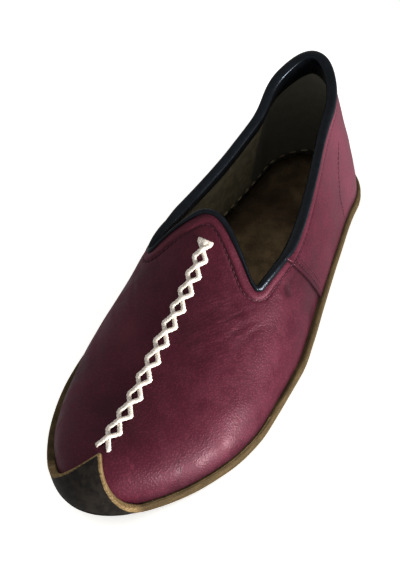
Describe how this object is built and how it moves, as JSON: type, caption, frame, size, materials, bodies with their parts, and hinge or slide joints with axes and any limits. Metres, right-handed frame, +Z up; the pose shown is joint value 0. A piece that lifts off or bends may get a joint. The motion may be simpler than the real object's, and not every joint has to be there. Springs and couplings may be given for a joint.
{
  "type": "traditional leather shoe",
  "caption": "Slip-on leather shoe with a rounded throat tab, bound collar and a leather sole turned up over the toe into a pointed beak.",
  "frame": {"origin": "middle of the shoe's box, on the floor under the flat sole", "axes": "+Z up, toe towards -Y, outer side of the foot towards +X"},
  "size_m": [0.1112, 0.2706, 0.0857],
  "materials": {
    "burgundy_leather": "satin, fine pebble grain",
    "sole_leather": "dark waxed face with a raw tan cut edge",
    "insole_leather": "matt brown",
    "binding_leather": "smooth black with a soft sheen"
  },
  "bodies": {
    "root": {"upper": "burgundy_leather", "outsole": "sole_leather", "insole": "insole_leather", "collar_binding": "binding_leather"}
  },
  "joints": []
}
